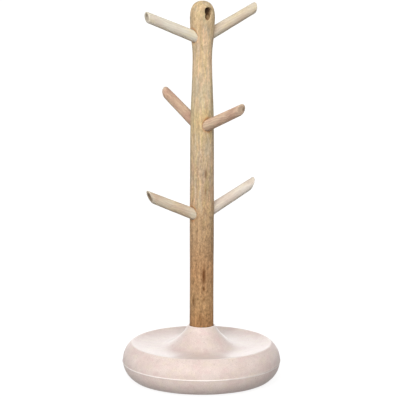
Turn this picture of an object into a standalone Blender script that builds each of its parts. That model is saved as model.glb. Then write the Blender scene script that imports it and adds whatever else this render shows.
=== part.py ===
"""Mug tree: a turned wooden post with six slanted pegs, standing in a round cast stone base.

Metres, +Z up. The origin is on the worktop, under the middle of the base. The upper and the
lower pair of pegs point along X, and the middle pair and the post's eye point along Y.
Heights are measured from the stone's underside, which four rubber feet lift off the worktop.
"""

import math

import bmesh
import bpy
from mathutils import Vector

MM = 0.001
GAP = 0.3 * MM  # left between pieces that touch

# ---- post ----
POST_FOOT_HEIGHT = 40.3 * MM  # the foot stands on the floor of the collar's socket
POST_FOOT_RADIUS = 11.4 * MM
POST_FOOT_CHAMFER = 0.6 * MM
POST_WAIST = (  # (radius, height) from above the foot to just under the head's widest place
    (11.4, 52.0),
    (11.3, 100.0),
    (11.5, 148.0),
    (11.35, 200.0),
    (11.2, 236.0),
    (10.8, 261.0),
    (10.0, 280.0),
    (9.45, 296.0),
    (9.17, 309.0),
    (9.5, 318.0),
    (10.4, 326.5),
    (11.3, 336.0),
)
HEAD_RADIUS = 11.8 * MM
HEAD_DOME_HEIGHT = 347.0 * MM  # where the dome starts
POST_TOP = 363.8 * MM
DOME_FULLNESS = 2.5  # exponent of the dome's outline: 2 is an ellipse, more is squarer
DOME_STEPS = 8
POST_SEGMENTS = 40

# ---- eye through the head, along Y ----
EYE_RADIUS = 3.8 * MM
EYE_HEIGHT = 355.0 * MM
SCOOP_INNER_RADIUS = 3.9 * MM  # a slanted, tapered scoop draws each mouth down to a point
SCOOP_OUTER_RADIUS = 1.9 * MM
SCOOP_START = 4.0 * MM  # from the post's axis
SCOOP_FALL = math.radians(37)
SCOOP_SWING = math.radians(7)  # each scoop runs out this far round from the eye's own line
SCOOP_LENGTH = 13 * MM

# ---- pegs ----
PEG_ROOT_RADIUS = 5.4 * MM
PEG_TIP_RADIUS = 4.8 * MM
PEG_TENON_START = 4.3 * MM  # from the post's axis, along the peg
PEG_TENON_END = 11 * MM  # where the taper starts
PEG_RIM_BEVEL = 0.7 * MM
PEG_SEGMENTS = 32
PEGS = (  # name, heading, height on the post's axis, rise, reach and the end's lean
    ("upper_left", 180, 327.0, 23.0, 61.5, 6),
    ("upper_right", 0, 328.0, 23.0, 59.0, 6),
    ("middle_front", 270, 242.8, 22.5, 66.0, 18),
    ("middle_back", 90, 241.2, 22.5, 63.5, 18),
    ("lower_left", 180, 156.8, 24.0, 58.3, 24),
    ("lower_right", 0, 158.4, 24.0, 56.3, 24),
)

# ---- base ----
BASE_TUBE_CENTRE = (54.6 * MM, 18.0 * MM)  # radius and height of the rounded rim's centre
BASE_TUBE_RADIUS = 20.6 * MM
CREASE_RADIUS = 66.3 * MM
SEAM_DROP = 1.6 * MM  # the mould line lies this far under the widest place
SEAM_WIDTH = 1.0 * MM
SEAM_RELIEF = 0.35 * MM
TOP_FACE = (  # (radius, height) from the crease over the dish and up the flare
    (60.0, 33.2),
    (50.0, 31.8),
    (40.0, 31.5),
    (33.0, 32.7),
    (28.0, 35.4),
    (23.4, 38.9),
    (19.2, 42.8),
    (15.8, 47.0),
    (13.5, 51.2),
)
COLLAR_TOP = 52.6 * MM
COLLAR_LIP = 0.5 * MM
SOCKET_FLOOR = 40.0 * MM
BASE_SEGMENTS = 64
RIM_STEPS = 8

# ---- hardware under the base ----
BOLT_RADIUS = 2.65 * MM
BOLT_HOLE_RADIUS = 3.5 * MM
BOLT_TIP_HEIGHT = 53.0 * MM
BOLT_HEAD_RADIUS = 5.0 * MM
BOLT_HEAD_LENGTH = 5.5 * MM
HEX_SOCKET_RADIUS = 2.9 * MM
HEX_SOCKET_DEPTH = 3.0 * MM
WASHER_RADIUS = 9.0 * MM
WASHER_HOLE_RADIUS = 3.2 * MM
WASHER_THICKNESS = 1.6 * MM
COUNTERBORE_RADIUS = 12.0 * MM
COUNTERBORE_DEPTH = 10.0 * MM
INSERT_RADIUS = 4.5 * MM
INSERT_HOLE_RADIUS = 3.0 * MM
INSERT_LENGTH = 14.0 * MM
INSERT_BORE_LENGTH = 18.0 * MM
HARDWARE_SEGMENTS = 24

# ---- rubber feet ----
FOOT_RADIUS = 6.5 * MM
FOOT_THICKNESS = 1.5 * MM
FOOT_RING_RADIUS = 50.0 * MM
FOOT_COUNT = 4
FOOT_SEGMENTS = 28
FOOT_BEVEL = 0.3 * MM

CURVE_STEPS = 2  # points laid on each span of a smooth outline
SHARP_ANGLE = math.radians(35)


def clear_scene():
    for item in list(bpy.data.objects):
        bpy.data.objects.remove(item, do_unlink=True)


def make_material(name, colour, roughness, metallic=0.0):
    material = bpy.data.materials.new(name)
    material.use_nodes = True
    shader = material.node_tree.nodes["Principled BSDF"]
    shader.inputs["Base Color"].default_value = (*colour, 1.0)
    shader.inputs["Roughness"].default_value = roughness
    shader.inputs["Metallic"].default_value = metallic
    material.diffuse_color = (*colour, 1.0)
    return material


def smooth_outline(points, steps):
    """A Catmull-Rom curve through the points, with this many points on each span."""
    ends = [points[0] * 2 - points[1], *points, points[-1] * 2 - points[-2]]
    curve = []
    for before, start, end, after in zip(ends, ends[1:], ends[2:], ends[3:]):
        for step in range(steps):
            t = step / steps
            curve.append(
                0.5
                * (
                    start * 2
                    + (end - before) * t
                    + (before * 2 - start * 5 + end * 4 - after) * t**2
                    + (start * 3 - before - end * 3 + after) * t**3
                )
            )
    return [*curve, points[-1]]


def in_metres(pairs):
    return [Vector(pair) * MM for pair in pairs]


def finish_mesh(name, bm, material):
    bmesh.ops.recalc_face_normals(bm, faces=bm.faces[:])
    mesh = bpy.data.meshes.new(name)
    bm.to_mesh(mesh)
    bm.free()
    mesh.materials.append(material)
    mesh.shade_smooth()
    mesh.set_sharp_from_angle(angle=SHARP_ANGLE)
    item = bpy.data.objects.new(name, mesh)
    bpy.context.collection.objects.link(item)
    return item


def turn(outline, segments, ring=False):
    """Spins an outline of (radius, height) points round Z. A ring's outline closes on itself."""
    bm = bmesh.new()
    verts = [bm.verts.new((point[0], 0.0, point[1])) for point in outline]
    edges = [bm.edges.new(pair) for pair in zip(verts, verts[1:])]
    if ring:
        edges.append(bm.edges.new((verts[-1], verts[0])))
    bmesh.ops.spin(
        bm,
        geom=verts + edges,
        cent=(0, 0, 0),
        axis=(0, 0, 1),
        angle=math.tau,
        steps=segments,
        use_merge=True,
    )
    bmesh.ops.remove_doubles(bm, verts=bm.verts[:], dist=1e-6)
    return bm


def make_cutter(name, bm):
    cutter = finish_mesh(name, bm, bpy.data.materials["cutter"])
    cutter.hide_render = True
    cutter.display_type = "WIRE"
    return cutter


def cut(item, cutter):
    boolean = item.modifiers.new(cutter.name, "BOOLEAN")
    boolean.operation = "DIFFERENCE"
    boolean.solver = "EXACT"
    boolean.object = cutter


def rod(radius, start, end, segments):
    """A plain cylinder on Z, as a bmesh."""
    outline = [(0, start), (radius, start), (radius, end), (0, end)]
    return turn(outline, segments)


def point_out(item, height, heading, rise):
    """Puts an item made along Z on the post's axis, pointing out on its heading and up."""
    item.location = (0, 0, height)
    item.rotation_euler = (0, math.pi / 2 - rise, heading)


def post_outline():
    head = [Vector((HEAD_RADIUS, HEAD_DOME_HEIGHT))]
    stem = smooth_outline(in_metres(POST_WAIST) + head, CURVE_STEPS)
    rise = POST_TOP - HEAD_DOME_HEIGHT
    dome = []
    for step in range(1, DOME_STEPS):
        turned = math.pi / 2 * step / DOME_STEPS
        out = HEAD_RADIUS * math.cos(turned) ** (2 / DOME_FULLNESS)
        up = HEAD_DOME_HEIGHT + rise * math.sin(turned) ** (2 / DOME_FULLNESS)
        dome.append((out, up))
    bore_radius = INSERT_RADIUS + GAP
    bore_end = POST_FOOT_HEIGHT + INSERT_BORE_LENGTH
    foot = [
        (0, bore_end),
        (bore_radius, bore_end),
        (bore_radius, POST_FOOT_HEIGHT),
        (POST_FOOT_RADIUS - POST_FOOT_CHAMFER, POST_FOOT_HEIGHT),
        (POST_FOOT_RADIUS, POST_FOOT_HEIGHT + POST_FOOT_CHAMFER),
    ]
    return [*foot, *stem, *dome, (0, POST_TOP)]


def make_post(parent, material):
    post = finish_mesh("post", turn(post_outline(), POST_SEGMENTS), material)
    post.parent = parent

    eye_reach = HEAD_RADIUS * 1.5
    eye = make_cutter("eye_cutter", rod(EYE_RADIUS, -eye_reach, eye_reach, PEG_SEGMENTS))
    eye.rotation_euler = (math.pi / 2, 0, 0)
    eye.location = (0, 0, EYE_HEIGHT)
    eye.parent = parent
    cut(post, eye)

    scoop_outline = [
        (0, 0),
        (SCOOP_INNER_RADIUS, 0),
        (SCOOP_OUTER_RADIUS, SCOOP_LENGTH),
        (0, SCOOP_LENGTH),
    ]
    for side, eye_heading in (("front", -math.pi / 2), ("back", math.pi / 2)):
        heading = eye_heading - SCOOP_SWING
        scoop = make_cutter(f"scoop_{side}_cutter", turn(scoop_outline, PEG_SEGMENTS))
        out = Vector((math.cos(heading), math.sin(heading), 0))
        scoop.location = out * SCOOP_START + Vector((0, 0, EYE_HEIGHT))
        scoop.rotation_euler = (0, math.pi / 2 + SCOOP_FALL, heading)
        scoop.parent = parent
        cut(post, scoop)

    for name, heading, height, rise, _reach, _lean in PEGS:
        bm = rod(
            PEG_ROOT_RADIUS + GAP, PEG_TENON_START - GAP, HEAD_RADIUS * 2, PEG_SEGMENTS
        )
        socket = make_cutter(f"socket_{name}_cutter", bm)
        point_out(socket, height * MM, math.radians(heading), math.radians(rise))
        socket.parent = parent
        cut(post, socket)


def make_peg(name, length, end_tilt):
    """A tapered peg along Z. Its end is cut across at a tilt, longest on its upper side."""
    overrun = PEG_ROOT_RADIUS * 2
    slope = (PEG_TIP_RADIUS - PEG_ROOT_RADIUS) / (length - PEG_TENON_END)
    past_end = PEG_TIP_RADIUS + slope * overrun
    outline = [
        (0, PEG_TENON_START),
        (PEG_ROOT_RADIUS - PEG_RIM_BEVEL / 2, PEG_TENON_START),
        (PEG_ROOT_RADIUS, PEG_TENON_START + PEG_RIM_BEVEL / 2),
        (PEG_ROOT_RADIUS, PEG_TENON_END),
        (past_end, length + overrun),
        (0, length + overrun),
    ]
    bm = turn(outline, PEG_SEGMENTS)
    sliced = bmesh.ops.bisect_plane(
        bm,
        geom=bm.verts[:] + bm.edges[:] + bm.faces[:],
        dist=1e-7,
        plane_co=(0, 0, length),
        plane_no=(math.sin(end_tilt), 0, math.cos(end_tilt)),
        clear_outer=True,
    )
    rim = [part for part in sliced["geom_cut"] if isinstance(part, bmesh.types.BMEdge)]
    bmesh.ops.edgeloop_fill(bm, edges=rim)
    bmesh.ops.bevel(
        bm,
        geom=rim,
        offset=PEG_RIM_BEVEL,
        offset_type="OFFSET",
        segments=2,
        profile=0.5,
        affect="EDGES",
        clamp_overlap=True,
    )
    return finish_mesh(name, bm, bpy.data.materials["peg_wood"])


def make_pegs(parent):
    for name, heading, height, rise_degrees, reach, lean in PEGS:
        rise = math.radians(rise_degrees)
        length = reach * MM / math.cos(rise)
        peg = make_peg(f"peg_{name}", length, rise + math.radians(lean))
        point_out(peg, height * MM, math.radians(heading), rise)
        peg.parent = parent


def rim_point(angle, proud=0.0):
    """A point on the base's rounded rim, at an angle above its widest place."""
    radius, height = BASE_TUBE_CENTRE
    reach = BASE_TUBE_RADIUS + proud
    return (radius + reach * math.cos(angle), height + reach * math.sin(angle))


def base_outline():
    centre_radius, centre_height = BASE_TUBE_CENTRE
    flat_angle = -math.asin(centre_height / BASE_TUBE_RADIUS)
    crease_angle = math.acos((CREASE_RADIUS - centre_radius) / BASE_TUBE_RADIUS)
    seam_angle = -math.asin(SEAM_DROP / BASE_TUBE_RADIUS)
    half_seam = SEAM_WIDTH / 2 / BASE_TUBE_RADIUS

    rim = []
    for step in range(RIM_STEPS):
        part = step / RIM_STEPS
        rim.append(rim_point(flat_angle + (seam_angle - half_seam - flat_angle) * part))
    rim.append(rim_point(seam_angle - half_seam))
    rim.append(rim_point(seam_angle, proud=SEAM_RELIEF))
    for step in range(RIM_STEPS + 1):
        part = step / RIM_STEPS
        rim.append(rim_point(seam_angle + half_seam + (crease_angle - seam_angle - half_seam) * part))

    crease = Vector(rim[-1])
    collar = Vector((POST_FOOT_RADIUS + GAP + COLLAR_LIP * 2, COLLAR_TOP - COLLAR_LIP))
    top = smooth_outline([crease, *in_metres(TOP_FACE), collar], CURVE_STEPS)[1:]
    socket_radius = POST_FOOT_RADIUS + GAP
    inside = [
        (socket_radius + COLLAR_LIP * 1.5, COLLAR_TOP),
        (socket_radius + COLLAR_LIP * 0.5, COLLAR_TOP),
        (socket_radius, COLLAR_TOP - COLLAR_LIP),
        (socket_radius, SOCKET_FLOOR),
        (BOLT_HOLE_RADIUS, SOCKET_FLOOR),
        (BOLT_HOLE_RADIUS, COUNTERBORE_DEPTH),
        (COUNTERBORE_RADIUS, COUNTERBORE_DEPTH),
        (COUNTERBORE_RADIUS, 0),
    ]
    return [*rim, *top, *inside]


def make_base(parent, material):
    base = finish_mesh("base", turn(base_outline(), BASE_SEGMENTS, ring=True), material)
    base.parent = parent


def make_hardware(parent, material):
    washer_top = COUNTERBORE_DEPTH - GAP
    washer_bottom = washer_top - WASHER_THICKNESS
    washer = [
        (WASHER_HOLE_RADIUS, washer_bottom),
        (WASHER_RADIUS, washer_bottom),
        (WASHER_RADIUS, washer_top),
        (WASHER_HOLE_RADIUS, washer_top),
    ]
    item = finish_mesh("base_washer", turn(washer, HARDWARE_SEGMENTS, ring=True), material)
    item.parent = parent

    head_top = washer_bottom - GAP
    head_bottom = head_top - BOLT_HEAD_LENGTH
    chamfer = BOLT_HEAD_RADIUS / 10
    bolt_outline = [
        (0, head_bottom),
        (BOLT_HEAD_RADIUS - chamfer, head_bottom),
        (BOLT_HEAD_RADIUS, head_bottom + chamfer),
        (BOLT_HEAD_RADIUS, head_top),
        (BOLT_RADIUS, head_top),
        (BOLT_RADIUS, BOLT_TIP_HEIGHT - chamfer),
        (BOLT_RADIUS - chamfer, BOLT_TIP_HEIGHT),
        (0, BOLT_TIP_HEIGHT),
    ]
    bolt = finish_mesh("base_bolt", turn(bolt_outline, HARDWARE_SEGMENTS), material)
    bolt.parent = parent
    hex_key = make_cutter(
        "hex_cutter", rod(HEX_SOCKET_RADIUS, -HEX_SOCKET_DEPTH, HEX_SOCKET_DEPTH, 6)
    )
    hex_key.location = (0, 0, head_bottom)
    hex_key.parent = parent
    cut(bolt, hex_key)

    insert_bottom = POST_FOOT_HEIGHT + GAP
    insert_top = insert_bottom + INSERT_LENGTH
    insert = [
        (INSERT_HOLE_RADIUS, insert_bottom),
        (INSERT_RADIUS, insert_bottom),
        (INSERT_RADIUS, insert_top),
        (INSERT_HOLE_RADIUS, insert_top),
    ]
    item = finish_mesh("post_insert", turn(insert, HARDWARE_SEGMENTS, ring=True), material)
    item.parent = parent


def make_feet(parent, material):
    outline = [
        (0, 0),
        (FOOT_RADIUS - FOOT_BEVEL, 0),
        (FOOT_RADIUS, FOOT_BEVEL),
        (FOOT_RADIUS, FOOT_THICKNESS),
        (0, FOOT_THICKNESS),
    ]
    for index in range(FOOT_COUNT):
        foot = finish_mesh(f"rubber_foot_{index + 1}", turn(outline, FOOT_SEGMENTS), material)
        heading = math.tau * (index + 0.5) / FOOT_COUNT
        out = Vector((math.cos(heading), math.sin(heading), 0)) * FOOT_RING_RADIUS
        foot.location = out - Vector((0, 0, FOOT_THICKNESS + GAP))
        foot.parent = parent


def main():
    clear_scene()
    make_material("cutter", (1.0, 0.2, 0.2), 0.5)
    make_material("peg_wood", (0.68, 0.52, 0.37), 0.6)
    post_wood = make_material("post_wood", (0.56, 0.37, 0.19), 0.55)
    stone = make_material("blush_stone", (0.77, 0.62, 0.56), 0.85)
    steel = make_material("zinc_steel", (0.6, 0.6, 0.62), 0.35, metallic=1.0)
    rubber = make_material("foot_rubber", (0.62, 0.6, 0.57), 0.8)

    tree = bpy.data.objects.new("mug_tree", None)
    bpy.context.collection.objects.link(tree)
    tree.location = (0, 0, FOOT_THICKNESS + GAP)

    make_base(tree, stone)
    make_post(tree, post_wood)
    make_pegs(tree)
    make_hardware(tree, steel)
    make_feet(tree, rubber)


main()
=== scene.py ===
"""Mug tree: its finished surfaces, with the light and the view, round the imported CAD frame.

The post, the pegs, the stone and the feet are finer meshes, each in the place of its CAD node.
The steel parts keep their CAD meshes. Heights are measured from the stone's underside, and the
node materials read each piece's own coordinates, in millimetres.
"""

import math
from typing import NamedTuple

import bmesh
import bpy
import numpy as np
from mathutils import Matrix, Vector, noise


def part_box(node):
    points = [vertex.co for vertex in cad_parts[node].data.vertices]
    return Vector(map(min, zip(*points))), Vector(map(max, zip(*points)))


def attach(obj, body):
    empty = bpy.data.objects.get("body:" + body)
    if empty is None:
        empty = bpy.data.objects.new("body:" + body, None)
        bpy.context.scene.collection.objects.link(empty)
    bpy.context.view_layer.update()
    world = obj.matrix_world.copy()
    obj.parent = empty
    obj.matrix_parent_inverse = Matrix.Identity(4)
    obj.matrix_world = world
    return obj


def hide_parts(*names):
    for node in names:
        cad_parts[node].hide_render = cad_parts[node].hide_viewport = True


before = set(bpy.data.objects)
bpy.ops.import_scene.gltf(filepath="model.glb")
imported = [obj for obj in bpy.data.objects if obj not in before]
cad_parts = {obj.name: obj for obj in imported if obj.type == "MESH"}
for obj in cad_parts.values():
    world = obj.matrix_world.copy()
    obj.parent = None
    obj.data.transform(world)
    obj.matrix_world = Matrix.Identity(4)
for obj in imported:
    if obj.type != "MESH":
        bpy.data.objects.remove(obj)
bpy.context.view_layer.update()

MM = 0.001
STONE_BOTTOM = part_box("base")[0].z

# ---- post ----
POST_FOOT_RADIUS = 11.4 * MM
POST_FOOT_CHAMFER = 0.6 * MM
POST_WAIST = (  # (radius, height) from above the foot to just under the head's widest place
    (11.4, 52.0),
    (11.3, 100.0),
    (11.5, 148.0),
    (11.35, 200.0),
    (11.2, 236.0),
    (10.8, 261.0),
    (10.0, 280.0),
    (9.45, 296.0),
    (9.17, 309.0),
    (9.5, 318.0),
    (10.4, 326.5),
    (11.3, 336.0),
)
HEAD_RADIUS = 11.8 * MM
HEAD_DOME_HEIGHT = 347.0 * MM
DOME_FULLNESS = 2.5  # 2 is an ellipse, and a higher value is squarer
DOME_STEPS = 24
POST_SEGMENTS = 96
POST_VOXEL = 0.58 * MM  # the cut post is remeshed at this size, so its drilled edges turn soft
POST_SMOOTHING = 4
POST_WAVE = (0.07 * MM, 9 * MM)  # how far hand finishing leaves the surface uneven, and its scale
INSERT_PLAY = 0.3 * MM
INSERT_BORE_SPARE = 4 * MM  # the bore runs this far past the insert

# ---- eye through the head, along Y ----
EYE_RADIUS = 3.8 * MM
EYE_HEIGHT = 355.0 * MM
SCOOP_INNER_RADIUS = 3.9 * MM
SCOOP_OUTER_RADIUS = 1.9 * MM
SCOOP_START = 4.0 * MM  # from the post's axis
SCOOP_FALL = math.radians(37)  # below level
SCOOP_SWING = math.radians(7)  # each scoop runs out this far round from the eye's own line
SCOOP_LENGTH = 13 * MM

# ---- pegs ----
PEG_ROOT_RADIUS = 5.4 * MM
PEG_TIP_RADIUS = 4.8 * MM
PEG_TENON_START = 4.3 * MM  # from the post's axis, along the peg
PEG_TENON_END = 11 * MM  # where the taper starts
PEG_RIM_RADIUS = 1.0 * MM
PEG_CROWN = 0.15 * MM
PEG_SEGMENTS = 64
PEG_RINGS = 70
PEG_RIM_STEPS = 7
PEG_WAVE = (0.10 * MM, 11 * MM)
PEG_SOCKET_PLAY = 0.1 * MM


class Peg(NamedTuple):
    """A peg, as angles in degrees and lengths in millimetres."""

    name: str
    heading: float  # from +X
    height: float  # where its axis meets the post's
    rise: float
    reach: float  # level, from the post's axis to the middle of its end
    lean: float  # of its end, whose top overhangs its bottom

    @property
    def length(self):
        """From the post's axis to the middle of the peg's end, in metres."""
        return self.reach * MM / math.cos(math.radians(self.rise))

    @property
    def tilt(self):
        """The angle between a square end and the peg's slanted one."""
        return math.radians(self.rise) + math.radians(self.lean)


PEGS = (
    Peg("upper_left", 180, 327.0, 23.0, 61.5, 6),
    Peg("upper_right", 0, 328.0, 23.0, 59.0, 6),
    Peg("middle_front", 270, 242.8, 22.5, 66.0, 18),
    Peg("middle_back", 90, 241.2, 22.5, 63.5, 18),
    Peg("lower_left", 180, 156.8, 24.0, 58.3, 24),
    Peg("lower_right", 0, 158.4, 24.0, 56.3, 24),
)

# ---- base ----
BASE_TUBE_CENTRE = (54.6 * MM, 18.0 * MM)  # radius and height of the rounded rim's centre
BASE_TUBE_RADIUS = 20.6 * MM
CREASE_RADIUS = 66.3 * MM
CREASE_ANGLE = math.acos((CREASE_RADIUS - BASE_TUBE_CENTRE[0]) / BASE_TUBE_RADIUS)
CREASE_HEIGHT = BASE_TUBE_CENTRE[1] + BASE_TUBE_RADIUS * math.sin(CREASE_ANGLE)
SEAM_DROP = 1.6 * MM  # the mould line lies this far under the widest place
SEAM_HALF_WIDTH = 0.5 * MM
SEAM_RELIEF = 0.4 * MM
SEAM_WANDER = 0.35 * MM
SEAM_STRENGTH = 0.9  # the mean share of its relief, which swings by the unevenness
SEAM_UNEVENNESS = 0.5
SEAM_CLIMB = 1.3 * MM  # the mould line isn't quite level: it climbs this much on one side
SEAM_CLIMB_SIDE = Vector((0.84, -0.54, 0.0))
TOP_FACE = (  # (radius, height) from the crease over the dish and up the flare
    (60.0, 33.2),
    (50.0, 31.8),
    (40.0, 31.5),
    (33.0, 32.7),
    (28.0, 35.4),
    (23.4, 38.9),
    (19.2, 42.8),
    (15.8, 47.0),
    (13.5, 51.2),
)
COLLAR_TOP = 52.6 * MM
COLLAR_LIP = 0.5 * MM
SOCKET_RADIUS = 11.7 * MM
SOCKET_FLOOR = 40.0 * MM
BOLT_HOLE_RADIUS = 3.5 * MM
COUNTERBORE_RADIUS = 12.0 * MM
COUNTERBORE_DEPTH = 10.0 * MM
BASE_SEGMENTS = 192
BASE_RIM_STEPS = 120
BASE_SPACING = {"rim": 0.4 * MM, "top": 0.7 * MM, "inside": 0.8 * MM}
BASE_SOFTENING = 3
BASE_WAVE = (0.12 * MM, 16 * MM)

# ---- feet ----
FOOT_EDGE = 0.45 * MM
FOOT_EDGE_STEPS = 6
FOOT_SEGMENTS = 48
FOOT_SHARP_ANGLE = math.radians(40)

CURVE_STEPS = 8


# ---------------------------------------------------------------- meshes


def smooth_outline(points, steps=CURVE_STEPS):
    """A Catmull-Rom curve through the points, with this many points on each span."""
    ends = [points[0] * 2 - points[1], *points, points[-1] * 2 - points[-2]]
    curve = []
    for before, start, end, after in zip(ends, ends[1:], ends[2:], ends[3:]):
        for step in range(steps):
            t = step / steps
            curve.append(
                0.5
                * (
                    start * 2
                    + (end - before) * t
                    + (before * 2 - start * 5 + end * 4 - after) * t**2
                    + (start * 3 - before - end * 3 + after) * t**3
                )
            )
    return [*curve, points[-1]]


def in_metres(pairs):
    return [Vector(pair) * MM for pair in pairs]


def resample(outline, spacing):
    """Points at equal steps along an outline, about this far apart."""
    points = np.array([tuple(point) for point in outline])
    lengths = np.hypot(*np.diff(points, axis=0).T)
    along = np.concatenate(([0.0], np.cumsum(lengths)))
    steps = np.linspace(0.0, along[-1], max(2, round(along[-1] / spacing) + 1))
    return np.column_stack([np.interp(steps, along, points[:, axis]) for axis in (0, 1)])


def soften_ring(outline, passes):
    """Rounds the corners of an outline that closes on itself."""
    for _ in range(passes):
        outline = (np.roll(outline, 1, axis=0) + outline * 2 + np.roll(outline, -1, axis=0)) / 4
    return outline


def skin(name, rings, closed=False):
    """A mesh from rings of points. A ring of one point closes an end."""
    bm = bmesh.new()
    loops = [[bm.verts.new(point) for point in ring] for ring in rings]
    pairs = list(zip(loops, loops[1:]))
    if closed:
        pairs.append((loops[-1], loops[0]))
    for lower, upper in pairs:
        count = max(len(lower), len(upper))
        for index in range(count):
            after = (index + 1) % count
            corners = [lower[index % len(lower)], lower[after % len(lower)]]
            corners += [upper[after % len(upper)], upper[index % len(upper)]]
            bm.faces.new(list(dict.fromkeys(corners)))
    bmesh.ops.recalc_face_normals(bm, faces=bm.faces[:])
    mesh = bpy.data.meshes.new(name)
    bm.to_mesh(mesh)
    bm.free()
    mesh.shade_smooth()
    return mesh


def circle(radius, height, segments):
    if radius < MM / 1000:
        return [(0.0, 0.0, height)]
    turns = [math.tau * index / segments for index in range(segments)]
    return [(radius * math.cos(turn), radius * math.sin(turn), height) for turn in turns]


def lathe(name, outline, segments, closed=False):
    """A turned mesh from (radius, height) points. A closed outline is a ring's."""
    rings = [circle(radius, height, segments) for radius, height in outline]
    return skin(name, rings, closed)


def rod(name, radius, start, end, segments=64):
    return lathe(name, [(0, start), (radius, start), (radius, end), (0, end)], segments)


def add_object(name, data):
    item = bpy.data.objects.new(name, data)
    bpy.context.scene.collection.objects.link(item)
    return item


def add_piece(name, mesh, material, nodes, location=None, rotation=(0, 0, 0)):
    """A shown piece that stands for CAD nodes and rides with the body they are in."""
    piece = add_object(name, mesh)
    piece.location = (0, 0, STONE_BOTTOM) if location is None else location
    piece.rotation_euler = rotation
    mesh.materials.clear()
    mesh.materials.append(material)
    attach(piece, "root")
    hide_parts(*nodes)
    return piece


def waver(mesh, wave, seed):
    """Moves each point along its normal by smooth noise. The wave is its height and its size."""
    amount, size = wave
    offset = Vector((seed * 7.3, seed * 3.1, seed * 5.7))
    moved = [
        vert.co + vert.normal * amount * noise.noise(vert.co / size + offset)
        for vert in mesh.vertices
    ]
    mesh.vertices.foreach_set("co", [axis for point in moved for axis in point])
    mesh.update()


# ---------------------------------------------------------------- post


def peg_rotation(peg):
    """Turns +Z to run along the peg."""
    return (0, math.pi / 2 - math.radians(peg.rise), math.radians(peg.heading))


def post_outline():
    """The post's outline: up its insert's bore, out over the foot, and up the stem to the dome."""
    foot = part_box("post")[0].z - STONE_BOTTOM
    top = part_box("post")[1].z - STONE_BOTTOM
    head = [Vector((HEAD_RADIUS, HEAD_DOME_HEIGHT))]
    stem = smooth_outline(in_metres(POST_WAIST) + head)
    dome = []
    for step in range(1, DOME_STEPS):
        turned = math.pi / 2 * step / DOME_STEPS
        out = HEAD_RADIUS * math.cos(turned) ** (2 / DOME_FULLNESS)
        up = HEAD_DOME_HEIGHT + (top - HEAD_DOME_HEIGHT) * math.sin(turned) ** (2 / DOME_FULLNESS)
        dome.append((out, up))
    insert_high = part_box("post_insert")[1]
    bore_radius = insert_high.x + INSERT_PLAY
    bore_end = insert_high.z - STONE_BOTTOM + INSERT_BORE_SPARE
    return [
        (0, bore_end),
        (bore_radius, bore_end),
        (bore_radius, foot),
        (POST_FOOT_RADIUS - POST_FOOT_CHAMFER, foot),
        (POST_FOOT_RADIUS, foot + POST_FOOT_CHAMFER),
        *stem,
        *dome,
        (0, top),
    ]


def post_cutters():
    """The eye, a slanted scoop in each of its mouths and a socket for each peg."""
    reach = HEAD_RADIUS * 1.5
    eye = add_object("eye", rod("eye", EYE_RADIUS, -reach, reach))
    eye.location = (0, 0, EYE_HEIGHT)
    eye.rotation_euler = (math.pi / 2, 0, 0)
    cutters = [eye]

    outline = [
        (0, 0),
        (SCOOP_INNER_RADIUS, 0),
        (SCOOP_OUTER_RADIUS, SCOOP_LENGTH),
        (0, SCOOP_LENGTH),
    ]
    for eye_heading in (-math.pi / 2, math.pi / 2):
        heading = eye_heading - SCOOP_SWING
        scoop = add_object("scoop", lathe("scoop", outline, 64))
        out = Vector((math.cos(heading), math.sin(heading), 0))
        scoop.location = out * SCOOP_START + Vector((0, 0, EYE_HEIGHT))
        scoop.rotation_euler = (0, math.pi / 2 + SCOOP_FALL, heading)
        cutters.append(scoop)

    play = PEG_SOCKET_PLAY
    for peg in PEGS:
        socket = rod(peg.name, PEG_ROOT_RADIUS + play, PEG_TENON_START - play, HEAD_RADIUS * 2)
        cutter = add_object(peg.name, socket)
        cutter.location = (0, 0, peg.height * MM)
        cutter.rotation_euler = peg_rotation(peg)
        cutters.append(cutter)
    return cutters


def make_post(material):
    """The turned post, cut by its eye and sockets, remeshed and smoothed into one skin."""
    blank = add_object("post_blank", lathe("post_blank", post_outline(), POST_SEGMENTS))
    cutters = post_cutters()
    for cutter in cutters:
        boolean = blank.modifiers.new(cutter.name, "BOOLEAN")
        boolean.operation = "DIFFERENCE"
        boolean.solver = "MANIFOLD"
        boolean.object = cutter
    remesh = blank.modifiers.new("remesh", "REMESH")
    remesh.mode = "VOXEL"
    remesh.voxel_size = POST_VOXEL
    smooth = blank.modifiers.new("smooth", "SMOOTH")
    smooth.factor = 0.5
    smooth.iterations = POST_SMOOTHING

    bpy.context.view_layer.update()
    seen = blank.evaluated_get(bpy.context.evaluated_depsgraph_get())
    mesh = bpy.data.meshes.new_from_object(seen)
    mesh.name = "post_body"
    for item in [blank, *cutters]:
        bpy.data.objects.remove(item, do_unlink=True)
    mesh.shade_smooth()
    waver(mesh, POST_WAVE, seed=1)
    return add_piece("post_body", mesh, material, ["post"])


# ---------------------------------------------------------------- pegs


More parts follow.
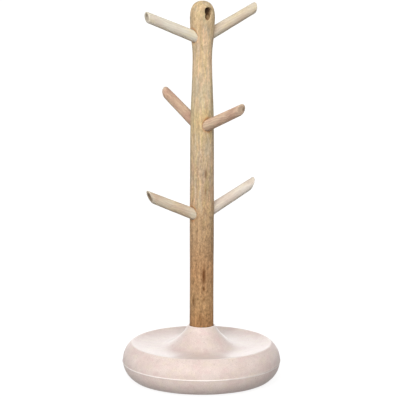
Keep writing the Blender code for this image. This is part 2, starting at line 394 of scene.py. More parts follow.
def peg_mesh(peg, seed):
    """A tapered peg along Z. Its rings lean little by little into the tilted end plane."""
    slope = math.tan(peg.tilt)
    turns = [math.tau * index / PEG_SEGMENTS for index in range(PEG_SEGMENTS)]

    def radius_at(z):
        taper = max(0.0, (z - PEG_TENON_END) / (peg.length - PEG_TENON_END))
        return PEG_ROOT_RADIUS + (PEG_TIP_RADIUS - PEG_ROOT_RADIUS) * taper

    def ring(radius, height, lean):
        """A ring of points, which the end plane's slope tips by the share lean."""
        points = []
        for turn in turns:
            x, y = radius * math.cos(turn), radius * math.sin(turn)
            points.append((x, y, height - x * slope * lean))
        return points

    rings = [[(0.0, 0.0, PEG_TENON_START)]]
    rings += [ring(PEG_ROOT_RADIUS * part, PEG_TENON_START, 0) for part in (0.3, 0.6, 0.85)]
    start = PEG_TENON_START + PEG_RIM_RADIUS / 2
    for step in range(PEG_RINGS):
        part = step / PEG_RINGS
        height = start + (peg.length - PEG_RIM_RADIUS - start) * part
        rings.append(ring(radius_at(height), height, part))
    for step in range(PEG_RIM_STEPS + 1):
        turned = math.pi / 2 * step / PEG_RIM_STEPS
        inset = PEG_RIM_RADIUS * (1 - math.cos(turned))
        height = peg.length - PEG_RIM_RADIUS * (1 - math.sin(turned))
        rings.append(ring(PEG_TIP_RADIUS - inset, height, 1))
    face_radius = PEG_TIP_RADIUS - PEG_RIM_RADIUS
    for part in (0.85, 0.65, 0.45, 0.2):
        rings.append(ring(face_radius * part, peg.length + PEG_CROWN * (1 - part**2), 1))
    rings.append([(0.0, 0.0, peg.length + PEG_CROWN)])

    mesh = skin(peg.name, rings)
    waver(mesh, PEG_WAVE, seed)
    return mesh


def make_pegs():
    for seed, peg in enumerate(PEGS, start=2):
        add_piece(
            f"{peg.name}_peg",
            peg_mesh(peg, seed),
            peg_wood(peg, seed),
            [f"peg_{peg.name}"],
            location=(0, 0, STONE_BOTTOM + peg.height * MM),
            rotation=peg_rotation(peg),
        )


# ---------------------------------------------------------------- base


def base_outline():
    """The stone's outline: out over the rim, in over the dish and collar, and down the bores."""
    centre_radius, centre_height = BASE_TUBE_CENTRE
    flat_angle = -math.asin(centre_height / BASE_TUBE_RADIUS)
    rim = []
    for step in range(BASE_RIM_STEPS + 1):
        angle = flat_angle + (CREASE_ANGLE - flat_angle) * step / BASE_RIM_STEPS
        out = centre_radius + BASE_TUBE_RADIUS * math.cos(angle)
        rim.append((out, centre_height + BASE_TUBE_RADIUS * math.sin(angle)))
    collar = Vector((SOCKET_RADIUS + COLLAR_LIP * 2, COLLAR_TOP - COLLAR_LIP))
    top = smooth_outline([Vector(rim[-1]), *in_metres(TOP_FACE), collar])
    inside = [
        tuple(collar),
        (SOCKET_RADIUS + COLLAR_LIP * 1.5, COLLAR_TOP),
        (SOCKET_RADIUS + COLLAR_LIP * 0.5, COLLAR_TOP),
        (SOCKET_RADIUS, COLLAR_TOP - COLLAR_LIP),
        (SOCKET_RADIUS, SOCKET_FLOOR),
        (BOLT_HOLE_RADIUS, SOCKET_FLOOR),
        (BOLT_HOLE_RADIUS, COUNTERBORE_DEPTH),
        (COUNTERBORE_RADIUS, COUNTERBORE_DEPTH),
        (COUNTERBORE_RADIUS, 0),
        rim[0],
    ]
    runs = {"rim": rim, "top": top, "inside": inside}
    points = [resample(outline, BASE_SPACING[run])[:-1] for run, outline in runs.items()]
    return soften_ring(np.concatenate(points), BASE_SOFTENING)


def raise_mould_line(mesh):
    """A thin, slightly uneven ridge round the stone where the two mould halves met."""
    middle = BASE_TUBE_CENTRE[1] - SEAM_DROP
    for vert in mesh.vertices:
        out = math.hypot(vert.co.x, vert.co.y)
        if out < CREASE_RADIUS:
            continue
        along = Vector((vert.co.x, vert.co.y, 0)) / out
        climb = max(0.0, along.dot(SEAM_CLIMB_SIDE)) ** 2 * SEAM_CLIMB
        wander = climb + noise.noise(along * 4) * SEAM_WANDER
        strength = SEAM_STRENGTH + SEAM_UNEVENNESS * noise.noise(along * 9 + Vector((5, 5, 5)))
        away = (vert.co.z - middle - wander) / SEAM_HALF_WIDTH
        vert.co += along * SEAM_RELIEF * strength * math.exp(-(away**2))
    mesh.update()


def make_base(material):
    mesh = lathe("stone_base", base_outline(), BASE_SEGMENTS, closed=True)
    waver(mesh, BASE_WAVE, seed=9)
    raise_mould_line(mesh)
    add_piece("stone_base", mesh, material, ["base"])


def make_feet(material):
    """Soft-edged discs in the places of the CAD's feet."""
    for number in range(1, 5):
        node = f"rubber_foot_{number}"
        low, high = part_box(node)
        radius, thickness = (high.x - low.x) / 2, high.z - low.z
        outline = [(0, 0), (radius * 0.5, 0)]
        for step in range(FOOT_EDGE_STEPS + 1):
            turned = math.pi / 2 * step / FOOT_EDGE_STEPS
            inset, rise = 1 - math.sin(turned), 1 - math.cos(turned)
            outline.append((radius - FOOT_EDGE * inset, FOOT_EDGE * rise))
        outline += [(radius, thickness), (radius * 0.5, thickness), (0, thickness)]
        mesh = lathe(f"foot_{number}", outline, FOOT_SEGMENTS)
        mesh.set_sharp_from_angle(angle=FOOT_SHARP_ANGLE)
        middle = (low + high) / 2
        place = (middle.x, middle.y, low.z)
        add_piece(f"foot_{number}", mesh, material, [node], location=place)


def repaint_hardware(material):
    """The steel parts' CAD shapes are right, so they keep them and get a finished material."""
    for node in ("base_bolt", "base_washer", "post_insert"):
        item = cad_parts[node]
        item.data.materials.clear()
        item.data.materials.append(material)


# ---------------------------------------------------------------- materials


def srgb(code):
    """A colour such as "c8a882" as the linear value that nodes take."""
    shares = [int(code[index : index + 2], 16) / 255 for index in (0, 2, 4)]
    linear = [s / 12.92 if s <= 0.04045 else ((s + 0.055) / 1.055) ** 2.4 for s in shares]
    return (*linear, 1.0)


class Nodes:
    """A node tree that is being built. Most calls add a node and return its output socket."""

    def __init__(self, tree):
        self.tree = tree

    def add(self, kind, inputs=None, **settings):
        node = self.tree.nodes.new(kind)
        for name, value in settings.items():
            setattr(node, name, value)
        for key, value in (inputs or {}).items():
            self.feed(node.inputs[key], value)
        return node

    def feed(self, socket, value):
        if isinstance(value, bpy.types.NodeSocket):
            self.tree.links.new(value, socket)
        else:
            socket.default_value = value

    def math(self, operation, *values):
        return self.add("ShaderNodeMath", dict(enumerate(values)), operation=operation).outputs[0]

    def vector(self, operation, *values, scale=None):
        inputs = dict(enumerate(values))
        if scale is not None:
            inputs["Scale"] = scale
        node = self.add("ShaderNodeVectorMath", inputs, operation=operation)
        return node.outputs["Value" if operation in ("LENGTH", "DOT_PRODUCT") else "Vector"]

    def noise(self, vector, detail=2.0, roughness=0.5, colour=False):
        inputs = {"Vector": vector, "Scale": 1.0, "Detail": detail, "Roughness": roughness}
        return self.add("ShaderNodeTexNoise", inputs).outputs[1 if colour else 0]

    def cells(self, vector):
        """Distance from the nearest cell's middle, and that cell's random colour."""
        node = self.add("ShaderNodeTexVoronoi", {"Vector": vector, "Scale": 1.0})
        return node.outputs["Distance"], node.outputs["Color"]

    def range(self, value, low, high, to_low=0.0, to_high=1.0):
        """Maps low..high smoothly to to_low..to_high, and clamps."""
        inputs = {0: value, 1: low, 2: high, 3: to_low, 4: to_high}
        node = self.add("ShaderNodeMapRange", inputs, interpolation_type="SMOOTHSTEP")
        return node.outputs[0]

    def mix(self, factor, first, second):
        return self.add("ShaderNodeMix", {0: factor, 6: first, 7: second}, data_type="RGBA").outputs[2]

    def ramp(self, value, stops):
        """A colour ramp. Each stop is (place, colour)."""
        node = self.add("ShaderNodeValToRGB", {0: value})
        elements = node.color_ramp.elements
        while len(elements) < len(stops):
            elements.new(0.5)
        for element, (place, shade) in zip(elements, stops):
            element.position = place
            element.color = shade
        return node.outputs[0]

    def part(self, vector, axis):
        return self.add("ShaderNodeSeparateXYZ", {0: vector}).outputs[axis]

    def sum(self, *terms):
        total = terms[0]
        for term in terms[1:]:
            total = self.math("ADD", total, term)
        return total

    def swing(self, value, amount):
        """A value round a half, as a swing of this amount round nought."""
        return self.math("MULTIPLY", self.math("SUBTRACT", value, 0.5), amount)


class Surface(Nodes):
    """The nodes of one material. self.place is the piece's own coordinates in millimetres, and
    self.across is the same without its height."""

    def __init__(self, name):
        self.material = bpy.data.materials.new(name)
        self.material.use_nodes = True
        super().__init__(self.material.node_tree)
        self.shader = self.tree.nodes["Principled BSDF"]
        own = self.add("ShaderNodeTexCoord").outputs["Object"]
        self.place = self.vector("SCALE", own, scale=1 / MM)
        self.across = self.vector("MULTIPLY", self.place, (1.0, 1.0, 0.0))

    def stretched(self, sizes):
        """Coordinates in which one unit is this many millimetres along X, Y and Z."""
        return self.vector("DIVIDE", self.place, sizes)

    def from_axis(self):
        """Distance from the piece's own Z axis."""
        return self.vector("LENGTH", self.across)

    def near(self, place, sizes):
        """1 at a place, falling to 0 on an ellipsoid of these half sizes round it."""
        offset = self.vector("SUBTRACT", self.place, place)
        return self.range(self.vector("LENGTH", self.vector("DIVIDE", offset, sizes)), 1.0, 0.0)

    def band(self, value, middle, half_width, other, other_low):
        """1 where value is within half_width of the middle and other is above other_low."""
        away = self.math("ABSOLUTE", self.math("SUBTRACT", value, middle))
        inside = self.range(away, half_width, half_width * 0.3)
        above = self.range(other, other_low - 0.5, other_low + 0.5)
        return self.math("MULTIPLY", inside, above)

    def tint(self, colour, mask, amount, code):
        return self.mix(self.math("MULTIPLY", mask, amount), colour, srgb(code))

    def finish(self, colour, roughness, height, bump_depth):
        """Joins the colour, roughness and bump, whose height runs in shares of bump_depth."""
        self.feed(self.shader.inputs["Base Color"], colour)
        self.feed(self.shader.inputs["Roughness"], roughness)
        inputs = {"Height": height, "Strength": 1.0, "Distance": bump_depth}
        self.feed(self.shader.inputs["Normal"], self.add("ShaderNodeBump", inputs).outputs[0])
        return self.material


# ---- wood ----
WOOD_FIELDS = {  # sizes in mm across the grain, across it and along it, then detail and roughness
    "fibre": ((0.45, 0.45, 6.0), 4.0, 0.65),
    "streak": ((2.0, 2.0, 24.0), 3.0, 0.6),
    "patch": ((13.0, 13.0, 30.0), 2.0, 0.5),
    "fleck": ((1.8, 1.8, 2.9), 3.0, 0.7),
}
WOOD_TINT_SIZES = (3.6, 3.6, 17.0)
GRAIN_WANDER = 13.0  # how many mm the rings stray from true cylinders, at its full swing
GRAIN_WANDER_SIZES = (12, 12, 45)
PORE_SPACING = (1.3, 1.3, 6.0)
WOOD_SPECULAR = 0.12


def wood_figure(g, seed, pith, lean, ring_width, bend=0.0):
    """The fields that colour and roughen wood whose grain runs along Z: growth rings, fibres,
    streaks, flecks and pores, and three patchy tints that come and go on their own."""
    moved = g.vector("ADD", g.place, (seed * 37.0, seed * 53.0, seed * 71.0))

    def field(sizes, detail=2.0, roughness=0.5, colour=False):
        return g.noise(g.vector("DIVIDE", moved, sizes), detail, roughness, colour)

    figure = {name: field(*settings) for name, settings in WOOD_FIELDS.items()}

    wander = g.vector("SUBTRACT", field(GRAIN_WANDER_SIZES, colour=True), (0.5, 0.5, 0.5))
    warped = g.vector("ADD", g.place, g.vector("SCALE", wander, scale=GRAIN_WANDER))
    across = g.vector("DOT_PRODUCT", warped, (1.0, 0.0, -lean))
    deep = g.vector("DOT_PRODUCT", warped, (0.0, 1.0, lean * 0.4))
    flat = g.add("ShaderNodeCombineXYZ", {0: across, 1: deep}).outputs[0]
    from_pith = g.math("ADD", g.vector("LENGTH", g.vector("SUBTRACT", flat, pith)), bend)
    late = g.math("FRACT", g.math("DIVIDE", from_pith, ring_width))
    figure["ring"] = g.math("MULTIPLY", g.range(late, 0.0, 0.7), g.range(late, 1.0, 0.75))

    gap, tone = g.cells(g.vector("DIVIDE", moved, PORE_SPACING))
    open_pore = g.range(g.part(tone, 0), 0.55, 0.65)
    figure["pore"] = g.math("MULTIPLY", g.range(gap, 0.28, 0.1), open_pore)

    tints = field(WOOD_TINT_SIZES, detail=3.0, roughness=0.6, colour=True)
    figure["yellow"] = g.range(g.part(tints, 0), 0.49, 0.6)
    figure["pink"] = g.range(g.part(tints, 1), 0.49, 0.6)
    figure["grey"] = g.range(g.part(tints, 2), 0.51, 0.62)
    return figure


def tone_colour(g, colour, figure, amounts):
    """The colour, lightened and darkened by each part of the figure's own amount."""
    swings = [g.swing(figure[part], amount) for part, amount in amounts.items()]
    return g.vector("SCALE", colour, scale=g.sum(1.0, *swings))


# ---- the post's wood ----
POST_COLOURS = (  # (height in mm, colour) from the foot to the head
    (55, "9c754f"),
    (76, "a9865f"),
    (105, "ac845e"),
    (135, "ad8c69"),
    (165, "ba9a76"),
    (195, "b99f84"),
    (222, "c4ac8c"),
    (250, "c8b087"),
    (275, "c4b395"),
    (300, "d6bb98"),
    (325, "d7bb98"),
    (350, "cab18b"),
)
POST_PITH = (-17.0, 9.0, 0.0)
POST_RING_WIDTH = 5.2
POST_GRAIN_LEAN = 0.035
POST_TINTS = (("yellow", 0.3, "cdb87c"), ("pink", 0.27, "c99e80"), ("grey", 0.38, "b3aa96"))
POST_TINT_FADE = (130.0, 190.0, 0.06, 1.0)  # two heights in mm, and the tints' share at each
POST_FLECK_FADE = (265.0, 120.0, 1.0, 1.9)  # the same, for the flecks' strength
POST_TONES = {"ring": -0.2, "fibre": 0.85, "streak": 0.7, "patch": 0.2}
SOCKET_STAIN_AND_SHADE = "a86f3c"  # the wood is darker round each peg: partly where glue and sanding dust met, partly painted shade where the peg enters the post
SOCKET_STAIN_AND_SHADE_SIZES = (9.5, 9.5, 11.5)
# painted shade in the eye: its bore and the sunk faces of its scoops are darkened by position
BORE_SHADE = "4c2502"
BORE_SHADE_EDGE = (1.2, 0.4)  # mm outside the bore where its painted shade starts, and where it is full
BORE_SHADE_DEPTH = (11.0, 3.5)  # the same, in mm from the middle of the post
SCOOP_SHADE = "6b3f17"
SCOOP_SHADE_SHARES = (0.6, 1.0)  # on the lighter and the darker side of each scoop
SCOOP_SUNK = (0.4, 1.3)  # mm under the head's skin where a scoop's painted shade starts and is full
SCOOP_TOP = (1.5, 3.5)  # the same, in mm below the eye's centre
SCOOP_END = (10.5, 9.5)  # the same, at the scoop's lower end
SCOOP_SIDE = 2.0  # half the width in mm over which a scoop turns from lighter to darker
KNOT_COLOUR = "5f3515"
KNOT_BEND = 2.5  # the growth rings swerve this many mm at a knot
KNOTS = (  # (turn from +X in degrees, height, half width, half length, strength)
    (-113, 102.3, 3.2, 15.0, 1.0),
    (-113, 89.8, 2.0, 4.2, 1.0),
    (-104, 201.0, 2.2, 9.5, 0.75),
    (-106, 184.0, 1.8, 9.5, 0.65),
    (-166, 77.5, 2.2, 7.5, 0.7),
    (-112, 79.5, 2.0, 5.0, 0.5),
    (-130, 61.5, 3.2, 6.0, 0.35),
    (-160, 348.0, 1.2, 3.4, 0.7),
    (-72, 357.5, 2.6, 3.0, 0.9),
    (60, 128.0, 1.7, 8.0, 0.9),
    (20, 226.0, 1.4, 7.0, 0.7),
    (95, 286.0, 1.3, 7.5, 0.6),
    (130, 88.0, 1.5, 6.0, 0.7),
)


def knot_masks(g):
    """The strongest of the knots and dark streaks at each place on the post."""
    total = 0.0
    for turn_degrees, height, half_width, half_length, strength in KNOTS:
        turn = math.radians(turn_degrees)
        radius = POST_FOOT_RADIUS / MM
        place = (radius * math.cos(turn), radius * math.sin(turn), height)
        mask = g.near(place, (half_width, half_width, half_length))
        total = g.math("MAXIMUM", total, g.math("MULTIPLY", mask, strength))
    return total


def socket_stain_and_shade(g, broken):
    """A ring of stain and painted shade round each peg's socket, which the given noise breaks up."""
    total = 0.0
    for peg in PEGS:
        turn, rise = math.radians(peg.heading), math.radians(peg.rise)
        out = POST_FOOT_RADIUS / MM
        place = (out * math.cos(turn), out * math.sin(turn), peg.height + out * math.tan(rise))
        total = g.math("MAXIMUM", total, g.near(place, SOCKET_STAIN_AND_SHADE_SIZES))
    return g.math("MULTIPLY", g.range(total, 0.05, 0.4), g.range(broken, 0.36, 0.52))


def eye_shade_masks(g):
    """Painted shade in the eye: its drilled wall, darker the deeper it lies, and the sunk face of
    each scoop, which is darker on the side it swings to."""
    across, along, height = (g.part(g.place, axis) for axis in (0, 1, 2))
    below = g.math("SUBTRACT", EYE_HEIGHT / MM, height)
    from_eye = g.vector("LENGTH", g.add("ShaderNodeCombineXYZ", {0: across, 2: below}).outputs[0])
    bore = g.range(from_eye, *(EYE_RADIUS / MM + edge for edge in BORE_SHADE_EDGE))
    bore = g.math("MULTIPLY", bore, g.range(g.math("ABSOLUTE", along), *BORE_SHADE_DEPTH))

    sunk = g.range(g.from_axis(), *(HEAD_RADIUS / MM - depth for depth in SCOOP_SUNK))
    sunk = g.math("MULTIPLY", sunk, g.range(below, *SCOOP_TOP))
    sunk = g.math("MULTIPLY", sunk, g.range(below, *SCOOP_END))
    side = g.math("MULTIPLY", across, g.math("SIGN", along))
    darkness = g.range(side, -SCOOP_SIDE, SCOOP_SIDE, *SCOOP_SHADE_SHARES)
    return bore, g.math("MULTIPLY", sunk, darkness)


def post_wood():
    """Mango wood: pale and streaked at the head, brown and speckled towards the foot."""
    g = Surface("mango_post")
    knots = knot_masks(g)
    bend = g.math("MULTIPLY", knots, KNOT_BEND)
    figure = wood_figure(g, 1, POST_PITH, POST_GRAIN_LEAN, POST_RING_WIDTH, bend)

    height = g.part(g.place, 2)
    low, high = POST_COLOURS[0][0], POST_COLOURS[-1][0]
    share = g.math("DIVIDE", g.math("SUBTRACT", height, low), high - low)
    stops = [((place - low) / (high - low), srgb(code)) for place, code in POST_COLOURS]
    colour = g.ramp(share, stops)
    upper = g.range(height, *POST_TINT_FADE)
    for part, amount, code in POST_TINTS:
        colour = g.tint(colour, g.math("MULTIPLY", figure[part], upper), amount, code)

    colour = tone_colour(g, colour, figure, POST_TONES)
    flecks = g.swing(figure["fleck"], g.range(height, *POST_FLECK_FADE))
    colour = g.vector("SCALE", colour, scale=g.math("ADD", flecks, 1.0))
    colour = g.tint(colour, figure["pore"], 0.45, "6f4f30")
    colour = g.tint(colour, knots, 0.9, KNOT_COLOUR)
    # Partly a glue stain, partly painted shade round each peg's socket.
    colour = g.tint(colour, socket_stain_and_shade(g, figure["streak"]), 0.6, SOCKET_STAIN_AND_SHADE)
    # Painted shade in the eye's bore and on the sunk faces of its scoops.
    bore, scoop = eye_shade_masks(g)
    colour = g.tint(colour, scoop, 0.85, SCOOP_SHADE)
    colour = g.tint(colour, bore, 0.85, BORE_SHADE)

    rough = g.sum(0.62, g.swing(figure["fibre"], 0.2), g.swing(figure["patch"], 0.12))
    bump = g.sum(
        g.swing(figure["fibre"], 0.9),
        g.swing(figure["fleck"], 0.5),
        g.math("MULTIPLY", figure["pore"], -0.9),
        g.math("MULTIPLY", figure["ring"], 0.25),
    )
    g.shader.inputs["Specular IOR Level"].default_value = WOOD_SPECULAR
    return g.finish(colour, rough, bump, 0.10 * MM)


# ---- the pegs' wood ----
class PegLook(NamedTuple):
    """One peg's own wood. The places are in mm from the peg's axis."""

    light: str
    shaded: str
    streaked: str
    pith: tuple
    contrast: float  # how strongly the wood's figure shows
    end_grain: float  # how dark its end is
    heart: tuple  # the end grain's darkest spot


PEG_LOOKS = {
    "upper_left": PegLook("e5decd", "ded1c0", "e9dcb8", (16.0, 5.0, 0.0), 0.9, 0.4, (-1.8, 0.3, 0)),
    "upper_right": PegLook("d3c7b2", "cab7a1", "d8c8a2", (-14.0, 9.0, 0.0), 1.2, 0.5, (-1.5, 0.5, 0)),
    "middle_front": PegLook("dbbea3", "cda992", "e4cdac", (11.0, -8.0, 0.0), 1.8, 0.15, (-0.6, 3.1, 0)),
    "middle_back": PegLook("c6a98f", "bb9883", "d2b99a", (-9.0, -12.0, 0.0), 1.8, 0.5, (-1.2, -0.8, 0)),
    "lower_left": PegLook("d9ccb6", "ceb69f", "dfcea8", (13.0, 10.0, 0.0), 1.3, 0.7, (-1.8, 0.3, 0)),
    "lower_right": PegLook("dcd3c7", "d3c4b6", "e0d6be", (-18.0, 6.0, 0.0), 0.8, 0.5, (0.9, 1.2, 0)),
}
PEG_RING_WIDTH = 2.8
PEG_GRAIN_LEAN = 0.06
PEG_TONES = {"ring": -0.09, "fibre": 0.16, "streak": 0.14, "fleck": 0.14}
# a painted highlight: the last few mm of each peg and its rim are paler
PEG_TIP_HIGHLIGHT_COLOUR = "d2cbbb"
PEG_END_COLOUR = "7d664c"
PEG_HEART_COLOUR = "54402c"
# painted shade along each peg's underside
PEG_UNDERSIDE_SHADE_COLOUR = "8a6c50"
PEG_TIP_HIGHLIGHT_FADE = (-4.0, -0.5)  # mm past the end's plane where the paler tip, a painted highlight, starts and is full
PEG_END_FADE = (-0.9, -0.25)  # the same, for the end itself
PEG_FACE_FADE = (4.2, 2.2)  # mm from the axis where the end grain's colour starts and is full
PEG_HEART_FADE = (2.6, 0.9)  # mm from the heart
PEG_UNDERSIDE_SHADE_FADE = (3.6, 5.3)  # mm below the axis, where the painted shade along the underside starts and where it is full


def peg_wood(peg, seed):
    """A peg's own wood, with darker end grain inside a pale ring at its sanded rim, which is a
    painted highlight, and painted shade along its underside.
    """
    look = PEG_LOOKS[peg.name]
    g = Surface(f"wood_{peg.name}")
    figure = wood_figure(g, seed, look.pith, PEG_GRAIN_LEAN, PEG_RING_WIDTH)
    colour = g.mix(g.range(figure["patch"], 0.38, 0.62), srgb(look.light), srgb(look.shaded))
    colour = g.tint(colour, figure["yellow"], 0.45, look.streaked)
    colour = g.tint(colour, figure["pink"], 0.5, look.shaded)
    amounts = {part: amount * look.contrast for part, amount in PEG_TONES.items()}
    colour = tone_colour(g, colour, figure, amounts)
    colour = g.tint(colour, figure["pore"], 0.2 * look.contrast, "8f7254")

    end_plane = (math.sin(peg.tilt), 0.0, math.cos(peg.tilt))
    end_distance = peg.length / MM * math.cos(peg.tilt)
    past_end = g.math("SUBTRACT", g.vector("DOT_PRODUCT", g.place, end_plane), end_distance)
    on_end = g.range(past_end, *PEG_END_FADE)
    # Painted highlight: the tip and its rim are paler.
    colour = g.tint(colour, g.range(past_end, *PEG_TIP_HIGHLIGHT_FADE), look.end_grain * 0.6, PEG_TIP_HIGHLIGHT_COLOUR)
    face = g.math("MULTIPLY", on_end, g.range(g.from_axis(), *PEG_FACE_FADE))
    colour = g.tint(colour, face, look.end_grain, PEG_END_COLOUR)
    from_heart = g.vector("LENGTH", g.vector("SUBTRACT", g.across, look.heart))
    heart = g.math("MULTIPLY", on_end, g.range(from_heart, *PEG_HEART_FADE))
    colour = g.tint(colour, heart, 0.5, PEG_HEART_COLOUR)
    # Painted shade: the peg is darker along its underside.
    underside = g.range(g.part(g.place, 0), *PEG_UNDERSIDE_SHADE_FADE)
    colour = g.tint(colour, underside, 0.3, PEG_UNDERSIDE_SHADE_COLOUR)

    rough = g.sum(0.64, g.swing(figure["fibre"], 0.2), g.math("MULTIPLY", on_end, 0.12))
    bump = g.sum(
        g.swing(figure["fibre"], 0.8),
        g.math("MULTIPLY", figure["pore"], -0.7),
        g.math("MULTIPLY", figure["ring"], 0.2),
    )
    g.shader.inputs["Specular IOR Level"].default_value = WOOD_SPECULAR
    return g.finish(colour, rough, bump, 0.09 * MM)


# ---- stone, steel and rubber ----
STONE_PALE = "dbcac2"
STONE_DEEP = "d6c2ba"
STONE_CREAM = "dacbb8"
STONE_PINK = "d5b8b4"
STONE_WORN = "f9f0ea"  # rubbed on the crease, the mould line and the collar's lip
STONE_PALE_GRAIN = "eee2da"
STONE_DARK_GRAIN = "9d7d70"
STONE_PIT = "8f7166"
POLISH = 0.3
POLISH_OF_DISH = 0.65  # added where the stone is dished
DISH_LOW = (27.0, 31.0)  # mm above the underside where the dish's polish starts and is full
CREASE_WIDTH = 1.2


def worn_edges(g):
    """The crease, the mould line and the collar's lip, where the stone is rubbed pale."""
    out = g.from_axis()
    height = g.part(g.place, 2)
    crease = g.band(out, CREASE_RADIUS / MM, 1.3, height, CREASE_HEIGHT / MM - 2.5)
    seam_height = (BASE_TUBE_CENTRE[1] - SEAM_DROP) / MM
    seam = g.band(height, seam_height, 0.75, out, CREASE_RADIUS / MM)
    lip = g.band(out, (SOCKET_RADIUS + COLLAR_LIP) / MM, 1.2, height, COLLAR_TOP / MM - 1.0)
    faint_crease = g.math("MULTIPLY", crease, 0.3)
    return g.math("MAXIMUM", g.math("MAXIMUM", faint_crease, seam), lip)


def dish_mask(g):
    crease = CREASE_RADIUS / MM
    inside = g.range(g.from_axis(), crease + CREASE_WIDTH, crease - CREASE_WIDTH)
    return g.math("MULTIPLY", g.range(g.part(g.place, 2), *DISH_LOW), inside)


def blush_stone():
    """Cast stone: blush mottling, fine pale and dark grains, pin holes, a rubbed crease."""
    g = Surface("cast_blush_stone")
    cloud = g.noise(g.stretched((17, 17, 13)), detail=3.0, roughness=0.6)
    blotch = g.noise(g.stretched((5.5, 5.5, 4.0)), detail=3.0, roughness=0.65)
    grain = g.noise(g.stretched((0.7, 0.7, 0.7)), detail=3.0, roughness=0.7)
    warm = g.noise(g.vector("ADD", g.stretched((9, 9, 7)), (31.0, 7.0, 3.0)), detail=2.0)
    colour = g.mix(g.range(cloud, 0.36, 0.64), srgb(STONE_PALE), srgb(STONE_DEEP))
    colour = g.tint(colour, g.range(warm, 0.5, 0.68), 0.4, STONE_CREAM)
    colour = g.tint(colour, g.range(warm, 0.46, 0.34), 0.35, STONE_PINK)
    tone = g.sum(1.0, g.swing(blotch, 0.22), g.swing(grain, 0.55))
    colour = g.vector("SCALE", colour, scale=tone)

    gap, kind = g.cells(g.stretched((1.1, 1.1, 1.1)))
    spot = g.range(gap, 0.42, 0.25)
    pale = g.math("MULTIPLY", spot, g.range(g.part(kind, 0), 0.8, 0.86))
    dark = g.math("MULTIPLY", spot, g.range(g.part(kind, 1), 0.84, 0.9))
    colour = g.tint(colour, pale, 0.4, STONE_PALE_GRAIN)
    colour = g.tint(colour, dark, 0.3, STONE_DARK_GRAIN)
    hole, pick = g.cells(g.stretched((4.6, 4.6, 4.6)))
    pit = g.math("MULTIPLY", g.range(hole, 0.12, 0.07), g.range(g.part(pick, 0), 0.55, 0.6))
    colour = g.tint(colour, pit, 0.5, STONE_PIT)
    broken = g.range(blotch, 0.3, 0.6, 0.75, 1.0)
    colour = g.tint(colour, worn_edges(g), broken, STONE_WORN)

    dish = g.math("MULTIPLY", dish_mask(g), POLISH_OF_DISH)
    g.feed(g.shader.inputs["Coat Weight"], g.sum(POLISH, g.swing(blotch, 0.15), dish))
    g.shader.inputs["Coat Roughness"].default_value = 0.28

    rough = g.sum(0.5, g.swing(grain, 0.25), g.swing(blotch, 0.15), g.math("MULTIPLY", pit, 0.3))
    bump = g.sum(
        g.swing(grain, 0.5),
        g.swing(blotch, 0.8),
        g.math("MULTIPLY", pit, -2.0),
        g.math("MULTIPLY", spot, 0.12),
    )
    return g.finish(colour, rough, bump, 0.12 * MM)


def zinc_steel():
    """Bright zinc: turned lines round the axis and cloudy passivation."""
    g = Surface("zinc_plate")
    cloud = g.noise(g.stretched((3.0, 3.0, 3.0)), detail=3.0)
    turned = g.add("ShaderNodeCombineXYZ", {0: g.from_axis(), 2: g.part(g.place, 2)}).outputs[0]
    lines = g.noise(g.vector("DIVIDE", turned, (0.12, 0.12, 0.12)), detail=3.0)
    colour = g.mix(g.range(cloud, 0.35, 0.65), srgb("c9cccf"), srgb("b4b3ad"))
    colour = g.vector("SCALE", colour, scale=g.sum(1.0, g.swing(lines, 0.15)))
    rough = g.sum(0.34, g.swing(cloud, 0.2), g.swing(lines, 0.15))
    g.shader.inputs["Metallic"].default_value = 1.0
    return g.finish(colour, rough, lines, 0.03 * MM)


def foot_rubber():
    """Soft grey rubber with a fine moulded grain and patchy dust."""
    g = Surface("grey_rubber")
    grain = g.noise(g.stretched((0.35, 0.35, 0.35)), detail=3.0, roughness=0.6)
    dust = g.noise(g.stretched((2.6, 2.6, 2.6)), detail=3.0)
    colour = g.mix(g.range(dust, 0.4, 0.68), srgb("8f8b86"), srgb("aaa59d"))
    colour = g.vector("SCALE", colour, scale=g.sum(1.0, g.swing(grain, 0.2)))
    rough = g.sum(0.75, g.swing(grain, 0.2))
    return g.finish(colour, rough, grain, 0.06 * MM)


# ---------------------------------------------------------------- stage

CAMERA_AZIMUTH = math.radians(-33)  # 0 looks along +Y
CAMERA_DISTANCE = 3.005  # in metres, level, from the post's axis
CAMERA_HEIGHT = 0.792  # in metres, above the stone's underside
CAMERA_FALL = math.radians(11.63)  # how far the camera looks down
CAMERA_ROLL = math.radians(0.17)
CAMERA_LENS = 291.42
CAMERA_SENSOR = 36.0
CAMERA_SHIFT = -0.00475

FLOOR_HALF_SIZE = 30.0  # in metres, so its edge is never in view
FLOOR_SHADE = 0.22  # its own grey, which the lamps light and the mug tree shades
FLOOR_GLOW = 0.86

LIGHTS = (  # name, azimuth, elevation, light on a face turned to it, spread in degrees
    ("key", -40, 29, 0.92, 50),
    ("sky", 0, 90, 0.17, 180),
    ("bounce", -75, -40, 0.28, 180),
    ("back", 140, 25, 0.42, 180),
)

ROOM_BRIGHTNESS = 1.03
ROOM_TINT = (0.98, 0.99, 1.0)
ROOM_GLOW = (  # (degrees above the horizon, share of the brightness)
    (-9, 0.5),
    (-2, 1.0),
    (22, 1.0),
    (50, 0.3),
)
FAR_WALL_EXTRA = 0.9  # the wall behind the mug tree is the brightest
FAR_WALL_EDGE = (0.86, 0.98)  # cosines of the turns from its middle where it starts and is full


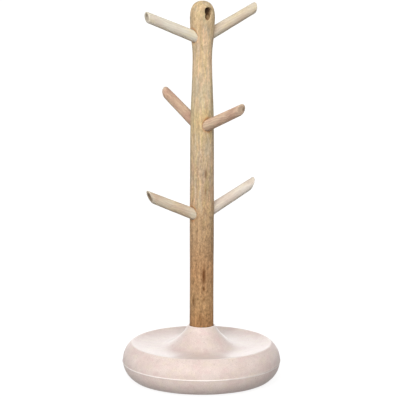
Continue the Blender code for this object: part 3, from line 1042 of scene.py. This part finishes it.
def make_camera():
    """A long lens, a little above the mug tree and to the left of its middle pegs."""
    camera = bpy.data.cameras.new("camera")
    camera.sensor_width = CAMERA_SENSOR
    camera.lens = CAMERA_LENS
    camera.shift_x = CAMERA_SHIFT
    item = add_object("camera", camera)
    out = Vector((math.sin(CAMERA_AZIMUTH), -math.cos(CAMERA_AZIMUTH), 0))
    item.location = out * CAMERA_DISTANCE + Vector((0, 0, CAMERA_HEIGHT + STONE_BOTTOM))
    turn = Matrix.Rotation(CAMERA_AZIMUTH, 3, "Z")
    pitch = Matrix.Rotation(math.pi / 2 - CAMERA_FALL, 3, "X")
    roll = Matrix.Rotation(CAMERA_ROLL, 3, "Z")
    item.rotation_euler = (turn @ pitch @ roll).to_euler()
    bpy.context.scene.camera = item


def make_lights():
    """Broad soft lights. A face turned square to one gets its strength as white paper's glow."""
    for name, azimuth, elevation, strength, spread in LIGHTS:
        light = bpy.data.lights.new(name, "SUN")
        light.energy = strength * math.pi
        light.angle = math.radians(spread)
        item = add_object(name, light)
        a, e = math.radians(azimuth), math.radians(elevation)
        towards = Vector((math.sin(a) * math.cos(e), -math.cos(a) * math.cos(e), math.sin(e)))
        item.rotation_euler = towards.to_track_quat("Z", "Y").to_euler()
        item.visible_glossy = False


def make_room():
    """White walls that are seen and mirrored, but leave the lighting to the lamps."""
    world = bpy.data.worlds.new("white_room")
    world.use_nodes = True
    nodes = Nodes(world.node_tree)
    background = nodes.tree.nodes["Background"]
    way = nodes.add("ShaderNodeTexCoord").outputs["Generated"]
    share = nodes.math("MULTIPLY_ADD", nodes.part(way, 2), 0.5, 0.5)
    stops = []
    for rise, glow in ROOM_GLOW:
        shade = (*(glow * part for part in ROOM_TINT), 1.0)
        stops.append(((math.sin(math.radians(rise)) + 1) / 2, shade))
    nodes.feed(background.inputs["Color"], nodes.ramp(share, stops))

    behind = (-math.sin(CAMERA_AZIMUTH), math.cos(CAMERA_AZIMUTH), 0.0)
    turned = nodes.vector("DOT_PRODUCT", way, behind)
    brightest = ROOM_BRIGHTNESS + FAR_WALL_EXTRA
    strength = nodes.range(turned, *FAR_WALL_EDGE, ROOM_BRIGHTNESS, brightest)
    nodes.feed(background.inputs["Strength"], strength)
    world.cycles_visibility.diffuse = False
    bpy.context.scene.world = world
    bpy.context.scene.view_settings.view_transform = "Standard"


def make_floor():
    """A wide pale floor, which is seen and takes shadows but throws no light back up."""
    bm = bmesh.new()
    bmesh.ops.create_grid(bm, x_segments=4, y_segments=4, size=FLOOR_HALF_SIZE)
    mesh = bpy.data.meshes.new("floor")
    bm.to_mesh(mesh)
    bm.free()
    floor = add_object("floor", mesh)
    material = bpy.data.materials.new("pale_floor")
    material.use_nodes = True
    shader = material.node_tree.nodes["Principled BSDF"]
    shader.inputs["Base Color"].default_value = (FLOOR_SHADE, FLOOR_SHADE, FLOOR_SHADE, 1.0)
    shader.inputs["Roughness"].default_value = 1.0
    shader.inputs["Specular IOR Level"].default_value = 0.0
    shader.inputs["Emission Color"].default_value = (1.0, 1.0, 1.0, 1.0)
    shader.inputs["Emission Strength"].default_value = FLOOR_GLOW
    mesh.materials.append(material)
    floor.visible_diffuse = False
    floor.visible_glossy = False
    floor.visible_shadow = False


make_camera()
make_lights()
make_room()
make_floor()
make_base(blush_stone())
make_post(post_wood())
make_pegs()
make_feet(foot_rubber())
repaint_hardware(zinc_steel())
